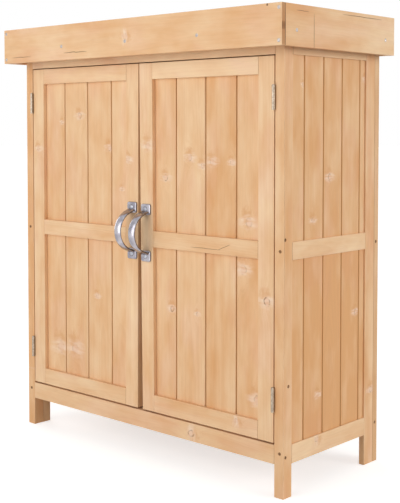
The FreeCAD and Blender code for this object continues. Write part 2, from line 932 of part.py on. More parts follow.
def roof_nodes():
    right_fascia = side_fascia()
    return {
        "roof_front_fascia": [front_fascia()],
        "roof_left_fascia": [mirrored(right_fascia)],
        "roof_right_fascia": [right_fascia],
        "roof_rear_fascia": [rear_fascia()],
        "roof_cross_battens": cross_battens(),
        "roof_rafters": rafters(),
        "roof_deck_boards": deck_boards(),
        "roof_felt": [roof_felt()],
    }


def hinge_nodes():
    frame_leaves = [hinge_leaf(centre, 1, 0) for centre in hinge_centres]
    pins = [hinge_pin(centre) for centre in hinge_centres]
    return {
        "right_hinge_frame_leaves": frame_leaves,
        "left_hinge_frame_leaves": [mirrored(leaf) for leaf in frame_leaves],
        "right_hinge_pins": pins,
        "left_hinge_pins": [mirrored(pin) for pin in pins],
    }


def door_leaves(door):
    leaves = [hinge_leaf(centre, -1, 1) for centre in hinge_centres]
    return leaves if door.side > 0 else [mirrored(leaf) for leaf in leaves]


def door_nodes(door):
    low = door.middle_rail_bottom
    return {
        door.name + "_door_hinge_stile": [door_hinge_stile(door)],
        door.name + "_door_meeting_stile": [door_meeting_stile(door)],
        door.name + "_door_bottom_rail": [door_rail(door, door_bottom, door.low_opening, False, True)],
        door.name + "_door_middle_rail": [door_rail(door, low, door.upper_bottom, True, True)],
        door.name + "_door_top_rail": [door_rail(door, door.high_opening, door_top, True, False)],
        door.name + "_door_boards": door_boards(door),
        door.name + "_handle": [handle(door)],
        door.name + "_hinge_door_leaves": door_leaves(door),
        door.name + "_strike_plate": [strike_plate(door)],
    }


def build():
    frame_screws = carcass_screws()
    fixed = carcass_nodes()
    fixed.update(hinge_nodes())
    fixed["magnetic_catch"] = [magnetic_catch()]
    fixed = {name: drilled(solids, frame_screws.holes) for name, solids in fixed.items()}
    fixed["cabinet_screws"] = frame_screws.solids

    edge_screws = roof_screws()
    roof = {name: drilled(solids, edge_screws.holes) for name, solids in roof_nodes().items()}
    for name in ("back_rails", "back_boards"):
        fixed[name] = drilled(fixed[name], edge_screws.holes)
    roof["roof_screws"] = edge_screws.solids

    nodes = dict(fixed)
    nodes.update(roof)
    for side in (-1, 1):
        door = Door(side)
        own_screws = door_screws(door)
        for name, solids in door_nodes(door).items():
            nodes[name] = drilled(solids, own_screws.holes)
        nodes[door.name + "_door_screws"] = own_screws.solids
    return nodes


def export(nodes):
    os.makedirs("parts", exist_ok=True)
    for name in sorted(nodes):
        solids = [solid for shape in nodes[name] for solid in shape.Solids]
        shape = solids[0] if len(solids) == 1 else Part.makeCompound(solids)
        shape.exportStep("parts/" + name + ".step")
        volume = sum(solid.Volume for solid in solids) / 1000
        print(name, len(solids), "solids", round(volume, 1), "cm3", "valid" if shape.isValid() else "INVALID")
    print(len(nodes), "nodes")


export(build())
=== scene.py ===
import bpy
import bmesh
import json
import math
import random
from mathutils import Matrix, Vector


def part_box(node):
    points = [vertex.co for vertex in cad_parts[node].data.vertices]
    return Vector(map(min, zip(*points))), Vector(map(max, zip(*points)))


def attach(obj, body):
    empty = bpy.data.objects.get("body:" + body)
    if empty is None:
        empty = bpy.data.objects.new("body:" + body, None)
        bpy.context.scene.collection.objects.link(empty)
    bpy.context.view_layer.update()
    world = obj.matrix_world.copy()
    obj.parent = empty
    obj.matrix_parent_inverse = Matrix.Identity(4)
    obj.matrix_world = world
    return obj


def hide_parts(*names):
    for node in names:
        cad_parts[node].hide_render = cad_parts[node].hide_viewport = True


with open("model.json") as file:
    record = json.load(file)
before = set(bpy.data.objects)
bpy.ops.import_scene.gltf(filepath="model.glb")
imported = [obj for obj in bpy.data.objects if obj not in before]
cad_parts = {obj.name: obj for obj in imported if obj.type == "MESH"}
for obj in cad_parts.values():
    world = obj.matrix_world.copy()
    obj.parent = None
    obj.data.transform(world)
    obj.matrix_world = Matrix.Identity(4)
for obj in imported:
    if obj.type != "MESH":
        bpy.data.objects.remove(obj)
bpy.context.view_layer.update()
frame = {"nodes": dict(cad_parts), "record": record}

# The studio: a white sweep under an even sky, a large soft box in front, a little to the left, and a
# lamp on each side a little behind the doors. The camera stands off the cabinet's right front corner.
camera = bpy.data.objects.new("camera", bpy.data.cameras.new("camera"))
camera.location = (1.4785, -1.57725, 0.6638)
camera.rotation_euler = (math.radians(90 - 2.467), 0, math.radians(42.43))
camera.data.lens = 73.81
camera.data.sensor_width = 36
camera.data.shift_y = -0.1562
camera.data.clip_end = 200
bpy.context.scene.collection.objects.link(camera)
bpy.context.scene.camera = camera
bpy.context.scene.view_settings.view_transform = "Standard"

lamp_softness = math.radians(45)
for name, strength, aside in (("right_lamp", 1.62, 0.93), ("left_lamp", 1.5, -0.93)):
    lamp = bpy.data.objects.new(name, bpy.data.lights.new(name, "SUN"))
    lamp.data.energy = strength
    lamp.data.angle = lamp_softness
    lamp.rotation_euler = Vector((aside, 0.3, 0.2)).to_track_quat("Z", "Y").to_euler()
    bpy.context.scene.collection.objects.link(lamp)

soft_box = bpy.data.objects.new("soft_box", bpy.data.lights.new("soft_box", "AREA"))
soft_box.data.energy = 32
soft_box.data.shape = "DISK"
soft_box.data.size = 2.5
soft_box.location = (-0.15, -2.4, 1.0)
soft_box.rotation_euler = Vector((-0.15, -2.25, 0.45)).to_track_quat("Z", "Y").to_euler()
soft_box.visible_camera = False
bpy.context.scene.collection.objects.link(soft_box)


def new_tree(holder):
    """The empty shader tree of a material or a world."""
    holder.use_nodes = True
    holder.node_tree.nodes.clear()
    return holder.node_tree


def put(tree, node, sockets):
    """Gives each socket its value, or links it from another node's socket."""
    for socket, value in sockets.items():
        if isinstance(value, bpy.types.NodeSocket):
            tree.links.new(value, node.inputs[socket])
        else:
            node.inputs[socket].default_value = value
    return node


def add(tree, kind, sockets, **settings):
    node = tree.nodes.new("ShaderNode" + kind)
    for key, value in settings.items():
        setattr(node, key, value)
    return put(tree, node, sockets)


def maths(tree, operation, first, second=0.0, third=0.0, clamp=False):
    """One sum of the shader, as the socket that holds its result."""
    sockets = {0: first, 1: second, 2: third}
    return add(tree, "Math", sockets, operation=operation, use_clamp=clamp).outputs[0]


sky_level = 0.42
sky = bpy.data.worlds.new("sky")
bpy.context.scene.world = sky
tree = new_tree(sky)
ray = add(tree, "LightPath", {})
seen = maths(tree, "MAXIMUM", ray.outputs["Is Camera Ray"], ray.outputs["Is Glossy Ray"])
seen = maths(tree, "MAXIMUM", seen, ray.outputs["Is Transmission Ray"])
level = add(tree, "MapRange", {"Value": seen, "To Min": sky_level, "To Max": 1.0})
glow = add(tree, "Background", {"Color": (1, 1, 1, 1), "Strength": level.outputs[0]})
add(tree, "OutputWorld", {"Surface": glow.outputs[0]})

floor_half = 30.0
floor_mesh = bpy.data.meshes.new("floor")
floor_corners = [(-floor_half, -floor_half, 0), (floor_half, -floor_half, 0),
                 (floor_half, floor_half, 0), (-floor_half, floor_half, 0)]
floor_mesh.from_pydata(floor_corners, [], [(0, 1, 2, 3)])
floor = bpy.data.objects.new("floor", floor_mesh)
bpy.context.scene.collection.objects.link(floor)
floor_paint = bpy.data.materials.new("floor_paint")
tree = new_tree(floor_paint)
ray = add(tree, "LightPath", {})
seen = maths(tree, "MAXIMUM", ray.outputs["Is Camera Ray"], ray.outputs["Is Glossy Ray"])
floor_white = add(tree, "MapRange", {"Value": seen, "To Min": 0.7, "To Max": 0.75})
floor_glow = maths(tree, "MULTIPLY", seen, 0.6)
floor_shader = add(tree, "BsdfPrincipled",
                   {"Base Color": floor_white.outputs[0], "Roughness": 0.9, "Specular IOR Level": 0.0,
                    "Emission Color": (1, 1, 1, 1), "Emission Strength": floor_glow})
add(tree, "OutputMaterial", {"Surface": floor_shader.outputs[0]})
floor_mesh.materials.append(floor_paint)

# Front posts: two planed fir battens that run to the ground as legs. Each is sawn, planed on four
# sides and its arrises are rubbed down. The shader reads the rings, fibres and knots from each plank.
mm = 0.001


def linear(red, green, blue):
    """The colour of a paint chip in 0 to 255, as the shaders want it."""
    shares = [value / 255 for value in (red, green, blue)]
    return [s / 12.92 if s <= 0.04045 else ((s + 0.055) / 1.055) ** 2.4 for s in shares] + [1]


def ease(tree, value, low, high, start=0.0, end=1.0):
    """A smooth step from start to end, as value goes from low to high."""
    sockets = {"Value": value, "From Min": low, "From Max": high, "To Min": start, "To Max": end}
    return add(tree, "MapRange", sockets, interpolation_type="SMOOTHSTEP").outputs[0]


def tint(tree, share, first, second, mode="MIX"):
    """first turned into second by share."""
    node = add(tree, "Mix", {0: share, 6: first, 7: second}, data_type="RGBA", blend_type=mode)
    return node.outputs[2]


def drawn_noise(tree, place, stretch, scale, detail=2.0):
    """Noise drawn out along the plank by stretch, from -0.5 to 0.5."""
    drawn = add(tree, "VectorMath", {0: place, 1: stretch}, operation="MULTIPLY").outputs[0]
    cloud = add(tree, "TexNoise", {"Vector": drawn, "Scale": scale, "Detail": detail}).outputs["Fac"]
    return maths(tree, "SUBTRACT", cloud, 0.5)


def new_group(name, inputs, outputs):
    """An empty shader group with named sockets, and its two end nodes."""
    tree = bpy.data.node_groups.new(name, "ShaderNodeTree")
    for socket, kind in inputs:
        tree.interface.new_socket(socket, in_out="INPUT", socket_type="NodeSocket" + kind)
    for socket, kind in outputs:
        tree.interface.new_socket(socket, in_out="OUTPUT", socket_type="NodeSocket" + kind)
    return tree, tree.nodes.new("NodeGroupInput"), tree.nodes.new("NodeGroupOutput")


def knot_group():
    """A branch end. Place is across and along the plank in knot radii, and how dark the knot is."""
    outputs = ("Core", "Rim", "Halo", "Push", "Flame")
    tree, given, result = new_group("knot", [("Place", "Vector")], [(name, "Float") for name in outputs])
    place = given.outputs["Place"]
    dark = add(tree, "SeparateXYZ", {0: place}).outputs["Z"]
    flat = add(tree, "VectorMath", {0: place, 1: (1, 0.8, 0)}, operation="MULTIPLY").outputs[0]
    length = add(tree, "VectorMath", {0: flat}, operation="LENGTH").outputs["Value"]
    distance = maths(tree, "MULTIPLY_ADD", drawn_noise(tree, place, (1, 1, 90), 0.9), 0.8, length)
    year = maths(tree, "SINE", maths(tree, "MULTIPLY", distance, 13.0))
    core = ease(tree, distance, 0.75, 1.15, 1.0, 0.0)
    core = maths(tree, "MULTIPLY", core, maths(tree, "MULTIPLY_ADD", year, 0.15, 0.85))
    ring = maths(tree, "MULTIPLY", ease(tree, distance, 0.62, 0.95), ease(tree, distance, 1.0, 1.3, 1.0, 0.0))
    broken = ease(tree, drawn_noise(tree, place, (1, 1, 70), 0.7), -0.1, 0.16)
    darkness = maths(tree, "MULTIPLY_ADD", dark, 0.85, 0.1)
    rim = maths(tree, "MULTIPLY", maths(tree, "MULTIPLY", ring, broken), darkness)
    drawn = add(tree, "VectorMath", {0: place, 1: (0.42, 0.2, 0)}, operation="MULTIPLY").outputs[0]
    reach = add(tree, "VectorMath", {0: drawn}, operation="LENGTH").outputs["Value"]
    reach = maths(tree, "MULTIPLY_ADD", drawn_noise(tree, place, (1, 0.6, 90), 0.9), 0.8, reach)
    wisp = add(tree, "VectorMath", {0: place, 1: (0.24, 0.44, 0)}, operation="MULTIPLY").outputs[0]
    wisp = add(tree, "VectorMath", {0: wisp}, operation="LENGTH").outputs["Value"]
    wisp = maths(tree, "MULTIPLY_ADD", drawn_noise(tree, place, (0.5, 1, 90), 0.8), 0.9, wisp)
    licks = ease(tree, drawn_noise(tree, place, (0.3, 1.0, 90), 1.1, 1.5), -0.22, 0.14, 0.2, 1.0)
    halo = maths(tree, "MULTIPLY", ease(tree, wisp, 0.2, 1.1, 1.0, 0.0), licks)
    push = maths(tree, "EXPONENT", maths(tree, "MULTIPLY", maths(tree, "MULTIPLY", reach, reach), -1.2))
    lobe = add(tree, "VectorMath", {0: place, 1: (0.6, -1.2, 0)}, operation="ADD").outputs[0]
    lobe = add(tree, "VectorMath", {0: lobe, 1: (0.4, 0.3, 0)}, operation="MULTIPLY").outputs[0]
    lobe = add(tree, "VectorMath", {0: lobe}, operation="LENGTH").outputs["Value"]
    lobe = maths(tree, "MULTIPLY_ADD", drawn_noise(tree, place, (1, 0.7, 90), 1.1), 1.2, lobe)
    flame = maths(tree, "MULTIPLY", ease(tree, lobe, 0.3, 1.1, 1.0, 0.0), maths(tree, "SUBTRACT", 1.0, halo))
    put(tree, result, {"Core": core, "Rim": rim, "Halo": halo, "Push": push, "Flame": flame})
    return tree


def grey(tree, value):
    return add(tree, "CombineColor", {0: value, 1: value, 2: value}).outputs[0]


knot_names = ("knot_one", "knot_two")
split_names = ("split_one", "split_two", "split_three", "split_four")


def fir_group(knot):
    """Fir: rings about each plank's pith, streaks, fibres, knots, splits and end grain, a painted highlight
    on the arrises, and painted shade in the joints and seams.
    """
    colours = ("Pale", "Deep", "Late Wood", "Knot Colour")
    amounts = ("Ring Width", "Ring Strength", "Streaks", "Saw Marks")
    tree, given, result = new_group(
        "fir", [(name, "Color") for name in colours] + [(name, "Float") for name in amounts],
        [("Color", "Color"), ("Roughness", "Float"), ("Height", "Float")])
    pale, deep, late_wood, knot_colour = [given.outputs[name] for name in colours]
    ring_width, ring_strength, streaks, saw_marks = [given.outputs[name] for name in amounts]
    place = add(tree, "Attribute", {}, attribute_name="grain_at").outputs["Vector"]
    tone = add(tree, "Attribute", {}, attribute_name="plank_tone").outputs["Fac"]
    end = add(tree, "Attribute", {}, attribute_name="end_grain").outputs["Fac"]
    arris = add(tree, "Attribute", {}, attribute_name="arris").outputs["Fac"]
    joint_shade = add(tree, "Attribute", {}, attribute_name="joint_shade").outputs["Fac"]
    seam_shade = add(tree, "Attribute", {}, attribute_name="seam_shade").outputs["Fac"]
    ends = []
    for name in knot_names:
        at = add(tree, "Attribute", {}, attribute_name=name).outputs["Vector"]
        ends.append(add(tree, "Group", {}, node_tree=knot))
        tree.links.new(at, ends[-1].inputs["Place"])
    core, rim, halo, push, flame = [
        maths(tree, "MAXIMUM", ends[0].outputs[name], ends[1].outputs[name])
        for name in ("Core", "Rim", "Halo", "Push", "Flame")]

    section = add(tree, "VectorMath", {0: place, 1: (1, 1, 0)}, operation="MULTIPLY").outputs[0]
    from_pith = add(tree, "VectorMath", {0: section}, operation="LENGTH").outputs["Value"]
    along = add(tree, "SeparateXYZ", {0: place}).outputs["Z"]
    distance = maths(tree, "MULTIPLY_ADD", drawn_noise(tree, place, (1, 1, 0.16), 11.0), 0.022, from_pith)
    distance = maths(tree, "MULTIPLY_ADD", drawn_noise(tree, place, (1, 1, 0.22), 60.0), 0.0024, distance)
    distance = maths(tree, "MULTIPLY_ADD", along, 0.012, distance)
    distance = maths(tree, "MULTIPLY_ADD", push, 0.012, distance)
    ring = maths(tree, "DIVIDE", distance, ring_width)
    spread = add(tree, "TexNoise", {"W": ring, "Scale": 0.55, "Detail": 1.0}, noise_dimensions="1D")
    ring = maths(tree, "MULTIPLY_ADD", spread.outputs["Fac"], 1.6, ring)
    within = maths(tree, "FRACT", ring)
    late = maths(tree, "MULTIPLY", ease(tree, within, 0.2, 0.86), ease(tree, within, 0.88, 1.0, 1.0, 0.0))
    year = add(tree, "TexWhiteNoise", {"W": maths(tree, "FLOOR", ring)}, noise_dimensions="1D")
    late = maths(tree, "MULTIPLY", late, maths(tree, "MULTIPLY_ADD", year.outputs["Value"], 0.8, 0.2))

    zones = add(tree, "TexNoise", {"W": maths(tree, "MULTIPLY", distance, 70.0), "Scale": 1.0, "Detail": 2.0},
                noise_dimensions="1D")
    patch = drawn_noise(tree, place, (1, 1, 0.35), 30.0, 3.0)
    streak = drawn_noise(tree, place, (1, 1, 0.03), 150.0, 3.0)
    fibre = drawn_noise(tree, place, (1, 1, 0.02), 1400.0)
    warm = maths(tree, "MULTIPLY_ADD", tone, 0.3, 0.46)
    warm = maths(tree, "MULTIPLY_ADD", maths(tree, "SUBTRACT", zones.outputs["Fac"], 0.5), 0.5, warm)
    warm = maths(tree, "MULTIPLY_ADD", patch, 1.5, warm)
    warm = maths(tree, "MULTIPLY_ADD", streak, streaks, warm, clamp=True)
    colour = tint(tree, warm, pale, deep)
    blush = ease(tree, drawn_noise(tree, place, (1, 1, 0.4), 17.0), -0.02, 0.16, 0.0, 0.5)
    colour = tint(tree, blush, colour, tint(tree, 1.0, colour, (1.0, 0.955, 1.06, 1), "MULTIPLY"))
    colour = tint(tree, maths(tree, "MULTIPLY", late, ring_strength), colour, late_wood)
    colour = tint(tree, 1.0, colour, grey(tree, maths(tree, "MULTIPLY_ADD", fibre, 0.12, 1.0)), "MULTIPLY")
    colour = tint(tree, maths(tree, "MULTIPLY", flame, 0.45), colour, linear(216, 150, 92))
    blond = tint(tree, 0.8, pale, linear(250, 226, 208))
    colour = tint(tree, maths(tree, "MULTIPLY", halo, 0.7), colour, blond)
    colour = tint(tree, maths(tree, "MULTIPLY", core, 0.35), colour, linear(226, 178, 148))
    colour = tint(tree, rim, colour, knot_colour)
    colour = tint(tree, maths(tree, "MULTIPLY", end, 0.75), colour, tint(tree, 0.5, late_wood, knot_colour))
    # Painted highlight: the rubbed arrises are lightened towards the pale colour.
    colour = tint(tree, maths(tree, "MULTIPLY", arris, 0.3), colour, pale)
    # Painted shade: rubbed arrises that lie against another plank are darkened towards the knot colour, as a
    # contact shadow.
    colour = tint(tree, maths(tree, "MULTIPLY", joint_shade, 0.3), colour, knot_colour)
    # Painted shade: the faces inside the board seams are tinted a darker brown.
    colour = tint(tree, maths(tree, "MULTIPLY", seam_shade, 0.8), colour, linear(214, 163, 105))
    saw = add(tree, "TexWave", {"Vector": place, "Scale": 95.0, "Distortion": 1.5, "Detail": 2.0},
              bands_direction="Z").outputs["Fac"]
    sawn = maths(tree, "MULTIPLY", saw, saw_marks)
    colour = tint(tree, 1.0, colour, grey(tree, maths(tree, "MULTIPLY_ADD", sawn, -0.12, 1.0)), "MULTIPLY")

    split = 0.0
    for name in split_names:
        cut = add(tree, "SeparateXYZ", {0: add(tree, "Attribute", {}, attribute_name=name).outputs["Vector"]})
        bend = add(tree, "TexNoise", {"W": cut.outputs["Y"], "Scale": 1.7, "Detail": 3.0},
                   noise_dimensions="1D")
        off = maths(tree, "SUBTRACT", bend.outputs["Fac"], 0.5)
        off = maths(tree, "MULTIPLY_ADD", off, cut.outputs["Z"], cut.outputs["X"])
        open_to = maths(tree, "MULTIPLY", cut.outputs["Y"], cut.outputs["Y"])
        open_to = maths(tree, "SUBTRACT", 1.0, open_to, clamp=True)
        line = maths(tree, "MULTIPLY", ease(tree, maths(tree, "ABSOLUTE", off), 0.6, 1.3, 1.0, 0.0),
                     maths(tree, "POWER", open_to, 0.5))
        split = maths(tree, "MAXIMUM", split, line)
    shadow = tint(tree, 0.5, knot_colour, (0, 0, 0, 1))
    colour = tint(tree, maths(tree, "MULTIPLY", split, 0.85), colour, shadow)
    rough = maths(tree, "MULTIPLY_ADD", fibre, 0.2, 0.56)
    rough = maths(tree, "MULTIPLY_ADD", late, -0.1, rough)
    rough = maths(tree, "MULTIPLY_ADD", end, 0.2, rough)
    height = maths(tree, "MULTIPLY_ADD", late, 0.35, maths(tree, "MULTIPLY", fibre, 0.7))
    height = maths(tree, "MULTIPLY_ADD", core, 0.4, height)
    height = maths(tree, "MULTIPLY_ADD", sawn, 1.5, height)
    height = maths(tree, "MULTIPLY_ADD", split, -4.0, height)
    put(tree, result, {"Color": colour, "Roughness": rough, "Height": height})
    return tree


fir = fir_group(knot_group())


def fir_material(name, pale, deep, late, rings, streaks, ring_width=2.8, saw_marks=0.0):
    """Fir with its own three wood colours, how strong its rings and streaks are, and the saw's marks."""
    finish = bpy.data.materials.new(name)
    tree = new_tree(finish)
    sockets = {"Pale": linear(*pale), "Deep": linear(*deep), "Late Wood": linear(*late),
               "Knot Colour": linear(142, 88, 50), "Ring Width": ring_width * mm, "Ring Strength": rings,
               "Streaks": streaks, "Saw Marks": saw_marks}
    wood = add(tree, "Group", {}, node_tree=fir)
    put(tree, wood, sockets)
    relief = add(tree, "Bump", {"Height": wood.outputs["Height"], "Strength": 0.5, "Distance": 0.3 * mm})
    shader = add(tree, "BsdfPrincipled",
                 {"Base Color": wood.outputs["Color"], "Roughness": wood.outputs["Roughness"],
                  "Normal": relief.outputs[0], "Specular IOR Level": 0.25})
    add(tree, "OutputMaterial", {"Surface": shader.outputs[0]})
    return finish


planed_fir = fir_material("planed_fir", (246, 213, 172), (227, 173, 121), (204, 144, 92), 0.14, 0.22)
bodies = frame["record"]["behaviour"]["bodies"]
body_of = {node: body for body, nodes in bodies.items() for node in nodes}


def loose_parts(solid):
    """The separate solids of a mesh, each as a list of its vertices."""
    left = set(solid.verts)
    parts = []
    for start in solid.verts:
        if start not in left:
            continue
        left.remove(start)
        part = [start]
        for vertex in part:
            for edge in vertex.link_edges:
                other = edge.other_vert(vertex)
                if other in left:
                    left.remove(other)
                    part.append(other)
        parts.append(part)
    return parts


def box_of(part):
    low = Vector([min(vertex.co[axis] for vertex in part) for axis in range(3)])
    high = Vector([max(vertex.co[axis] for vertex in part) for axis in range(3)])
    return low, high


def cad_copy(node):
    """A node's solids in a mesh of their own, with the faces joined at their edges."""
    solid = bmesh.new()
    solid.from_mesh(frame["nodes"][node].data)
    bmesh.ops.remove_doubles(solid, verts=solid.verts, dist=0.02 * mm)
    return solid


neighbours = {}
for node, body in body_of.items():
    if not any(word in node for word in ("screws", "hinge_door", "hinge_frame", "pins", "handle", "felt")):
        shape = cad_copy(node)
        neighbours.setdefault(body, []).extend(box_of(part) for part in loose_parts(shape))
        shape.free()


joint_reach = 2.2 * mm
least_step = mm / 9


def in_joint(face, body, own_box):
    """Whether a narrow face lies against another plank along most of its length."""
    corners = [vertex.co for vertex in face.verts]
    longest = max(range(3), key=lambda axis: max(c[axis] for c in corners) - min(c[axis] for c in corners))
    start = min(c[longest] for c in corners)
    length = max(c[longest] for c in corners) - start
    centre = face.calc_center_bounds()
    touching = 0
    for step in (0.1, 0.3, 0.5, 0.7, 0.9):
        for axis in range(3):
            if axis == longest or abs(face.normal[axis]) < 0.3:
                continue
            probe = centre.copy()
            probe[longest] = start + step * length
            probe[axis] += math.copysign(joint_reach, face.normal[axis])
            if any((low - own_box[0]).length > least_step
                   and all(low[k] <= probe[k] <= high[k] for k in range(3))
                   for low, high in neighbours[body]):
                touching += 1
                break
    return touching >= 4


def stand_in(name, solid, finish, slot, *nodes):
    """The finished piece: it takes the place of its CAD nodes and rides on their body."""
    mesh = bpy.data.meshes.new(name)
    solid.to_mesh(mesh)
    solid.free()
    mesh.polygons.foreach_set("use_smooth", [True] * len(mesh.polygons))
    mesh.set_sharp_from_angle(angle=math.radians(50))
    mesh.materials.append(finish)
    piece = bpy.data.objects.new(name, mesh)
    bpy.context.scene.collection.objects.link(piece)
    piece.modifiers.new("even_faces", "WEIGHTED_NORMAL").keep_sharp = True
    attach(piece, body_of[nodes[0]])
    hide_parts(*nodes)
    return piece


shortest_merged = 1.5 * mm
shortest_arris = 5 * mm
flattest_arris = math.radians(35)
far_away = (90.0, 90.0, 0.0)


def planed(node, finish, slot, arris=0.8, plane=(0, 2), knots=(), splits=(), tones=()):
    """The planks of a CAD node with rubbed arrises, and what the fir shader reads from each plank.
    knots are two places in the plane's axes, a radius and a darkness; splits two places, a length, a
    width, a slant from the grain in degrees and a waviness. tones are one number a plank, or two for its
    ends."""
    solid = cad_copy(node)
    grain_at = solid.verts.layers.float_vector.new("grain_at")
    knot_at = [solid.verts.layers.float_vector.new(name) for name in knot_names]
    split_at = [solid.verts.layers.float_vector.new(name) for name in split_names]
    plank_tone = solid.verts.layers.float.new("plank_tone")
    end_grain = solid.faces.layers.float.new("end_grain")
    rubbed = solid.faces.layers.float.new("arris")
    joint_shade = solid.faces.layers.float.new("joint_shade")
    seam_shade = solid.faces.layers.float.new("seam_shade")
    if min(edge.calc_length() for edge in solid.edges) > shortest_merged:
        bmesh.ops.dissolve_limit(solid, angle_limit=math.radians(0.5), verts=solid.verts, edges=solid.edges)
    solid.normal_update()
    corners = [edge for edge in solid.edges
               if arris and edge.is_manifold and edge.is_convex and edge.calc_length() > shortest_arris
               and edge.calc_face_angle() > flattest_arris]
    bevel = bmesh.ops.bevel(solid, geom=corners, offset=arris * mm, offset_type="OFFSET", segments=2,
                            profile=0.5, affect="EDGES", clamp_overlap=False)
    # The bevel faces are marked, and the shader lightens them as a painted highlight.
    for face in bevel["faces"]:
        face[rubbed] = 1.0
    first_axis, second_axis = plane
    planks = [(*box_of(part), part) for part in loose_parts(solid)]
    planks.sort(key=lambda plank: (round(plank[0][second_axis], 2), round(plank[0][first_axis], 3)))
    for index, (low, high, part) in enumerate(planks):
        middle = (low + high) / 2
        depth, across, along = sorted(range(3), key=lambda axis: high[axis] - low[axis])
        draw = random.Random(f"{node} {middle.x:.2f} {middle.y:.2f} {middle.z:.2f}")
        pith = middle.copy()
        pith[across] += draw.uniform(-35, 35) * mm
        pith[depth] += draw.choice((-1, 1)) * draw.uniform(12, 60) * mm
        pith[along] += draw.uniform(-2, 2)
        tone = tones[index] if index < len(tones) else draw.uniform(-1, 1)
        near_tone, far_tone = tone if isinstance(tone, tuple) else (tone, tone)
        marks = {"knots": [], "splits": []}
        for kind, places in (("knots", knots), ("splits", splits)):
            for first, second, *sizes in places:
                spot = middle.copy()
                spot[first_axis] = first * mm
                spot[second_axis] = second * mm
                if all(low[axis] - mm < spot[axis] < high[axis] + mm for axis in plane):
                    marks[kind].append((spot, *sizes))
        if not marks["knots"] and not marks["splits"] and draw.random() < 0.5:
            spot = middle.copy()
            spot[across] += draw.uniform(-0.35, 0.35) * (high[across] - low[across])
            spot[along] += draw.uniform(-0.4, 0.4) * (high[along] - low[along])
            marks["knots"].append((spot, draw.uniform(2.5, 5.0), draw.uniform(0.1, 0.5)))
        for vertex in part:
            place = vertex.co
            vertex[grain_at] = (place[across] - pith[across], place[depth] - pith[depth],
                                place[along] - pith[along])
            share = (place[along] - low[along]) / (high[along] - low[along])
            vertex[plank_tone] = near_tone + share * (far_tone - near_tone)
            for layer in (*knot_at, *split_at):
                vertex[layer] = far_away
            for layer, (spot, radius, dark) in zip(knot_at, marks["knots"]):
                vertex[layer] = ((place[across] - spot[across]) / (radius * mm),
                                 (place[along] - spot[along]) / (radius * mm), dark)
            for layer, (spot, length, width, slant, waves) in zip(split_at, marks["splits"]):
                off = place[across] - spot[across]
                on = place[along] - spot[along]
                sine = math.sin(math.radians(slant))
                cosine = math.cos(math.radians(slant))
                vertex[layer] = ((off * cosine - on * sine) / (width * mm / 2),
                                 (on * cosine + off * sine) / (length * mm / 2), waves)
        for face in {face for vertex in part for face in vertex.link_faces}:
            face[end_grain] = 1.0 if abs(face.normal[along]) > 0.8 else 0.0
            # Faces in a joint are marked for painted shade: the seam faces of the boards, and the rubbed
            # arrises elsewhere.
            if in_joint(face, body_of[node], (low, high)):
                if "boards" in node:
                    face[seam_shade] = 1.0 if abs(face.normal[depth]) < 0.9 else 0.0
                elif face[rubbed]:
                    face[joint_shade] = 1.0
    return stand_in("fir_" + node, solid, finish, slot, node)


for side, tone in (("left", (1.3, 1.6)), ("right", (0.9, 0.5))):
    planed("front_post_" + side, planed_fir, "fir_frame", tones=(tone,))

# Post cleats and the doors' top stop: sawn battens nailed behind the posts, flush with their inner
# faces, and behind the top rail. They are left rough, so the saw's marks show across their grain.
sawn_fir = fir_material("sawn_fir", (236, 198, 154), (216, 162, 112), (188, 132, 86), 0.3, 0.5, 3.4, 0.35)
planed("door_stops", sawn_fir, "fir_inside", arris=0)

# Front rails: two cross battens of the same planed fir between the posts, with the grain lying across.
# They are screwed through the posts' outer faces.
planed("front_bottom_rail", planed_fir, "fir_frame", knots=((137, 75, 6, 0.6),), tones=(0.0,))
planed("front_top_rail", planed_fir, "fir_frame", tones=(-0.5,))

# Framed sides: a rear stile, three rails and two rows of tongued and grooved boards on each side.
# The boards are chamfered along their seams and sit a little behind the frame's face.
boards_fir = fir_material("boards_fir", (244, 209, 167), (225, 170, 116), (200, 140, 90), 0.14, 0.22, 3.0)
for side in ("left", "right"):
    for node, tone in (("rear_stile", 0.5), ("top_rail", 0.3), ("middle_rail", 0.0), ("bottom_rail", -0.4)):
        planed(side + "_side_" + node, planed_fir, "fir_frame", plane=(1, 2), tones=(tone,))
    # The lower row of boards has deeper tones than the upper row. This is partly their own tone and partly
    # painted shade that darkens the side towards the bottom.
    planed(side + "_side_boards", boards_fir, "fir_boards", arris=0.3, plane=(1, 2),
           tones=(1.2, 1.7, 1.9, 1.6, 1.3, 0.6, 0.8, 1.0, 0.9, 0.3))

# Framed back: two stiles, three rails and two rows of boards. It is made of the cheaper sawn battens,
# and the boards' planed faces look to the rear.
for node in ("back_stile_left", "back_stile_right", "back_rails"):
    planed(node, sawn_fir, "fir_inside")
planed("back_boards", boards_fir, "fir_boards", arris=0.3)

# Floor and shelf: loose-laid sawn planks on bearers that are screwed to the side frames. Small gaps
# between the planks let the floor drain.
for node in ("floor_bearers", "floor_boards", "shelf_bearers", "shelf_boards"):
    planed(node, sawn_fir, "fir_inside", plane=(0, 1))

